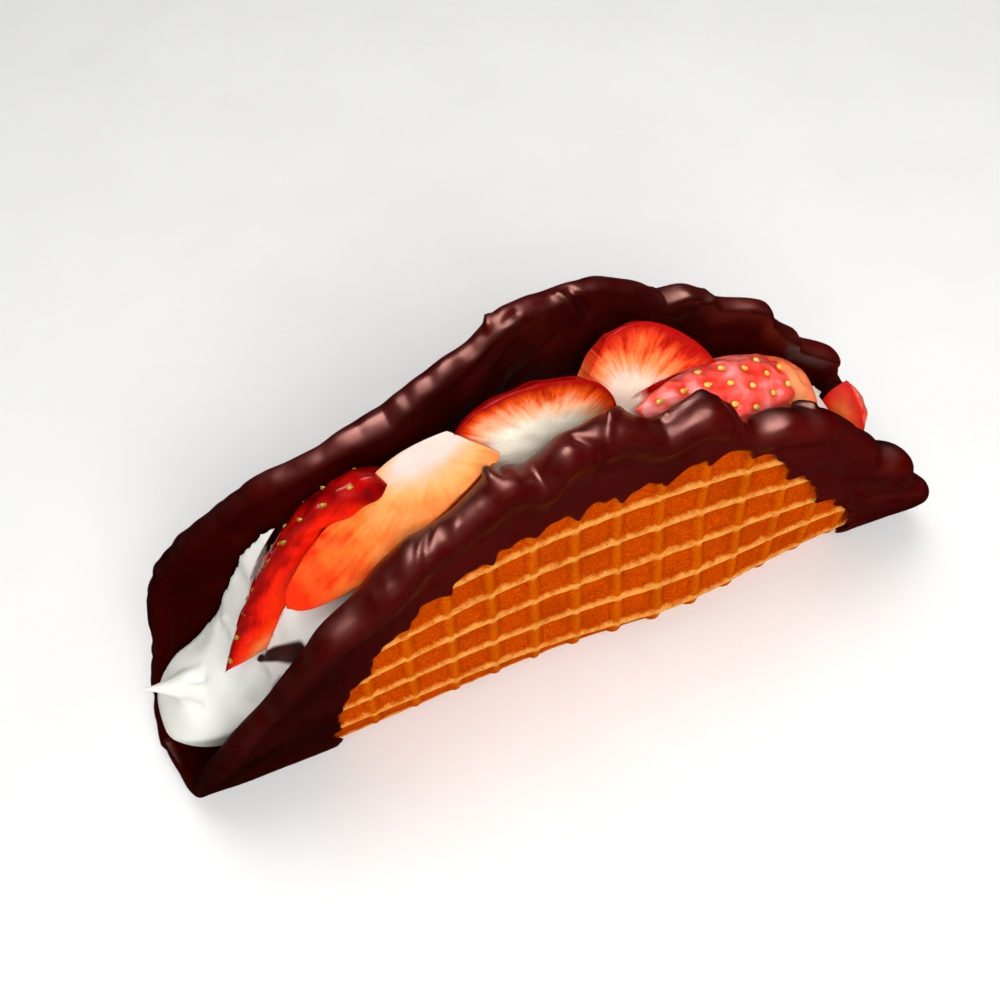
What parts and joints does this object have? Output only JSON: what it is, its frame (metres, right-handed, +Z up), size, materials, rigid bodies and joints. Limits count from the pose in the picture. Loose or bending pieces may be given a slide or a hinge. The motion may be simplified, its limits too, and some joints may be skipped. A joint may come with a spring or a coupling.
{
  "type": "folded waffle dessert",
  "caption": "Dessert taco: a folded waffle shell edged and lined with dark chocolate, filled with whipped cheesecake cream and topped with cut strawberries.",
  "frame": {"origin": "on the ground under the middle of the box round the whole taco", "axes": "+X along the fold, from the open end with the cream's peak to the end with the small berry piece; -Y out of the front wall; +Z up"},
  "size_m": [0.1424, 0.0356, 0.0644],
  "materials": {
    "waffle": "crisp baked waffle, matt with a dry grain",
    "chocolate": "dark chocolate set with a soft satin gloss",
    "cream": "smooth whipped cream, soft and slightly moist",
    "strawberry": "wet fruit, glossy skin and juicy cut faces"
  },
  "bodies": {
    "root": {"waffle_shell": "waffle", "chocolate_coat": "chocolate", "cream_filling": "cream", "strawberry_half_left": "strawberry", "strawberry_slice_left": "strawberry", "strawberry_half_middle": "strawberry", "strawberry_half_back": "strawberry", "strawberry_half_right": "strawberry", "strawberry_piece_right": "strawberry"}
  },
  "joints": []
}
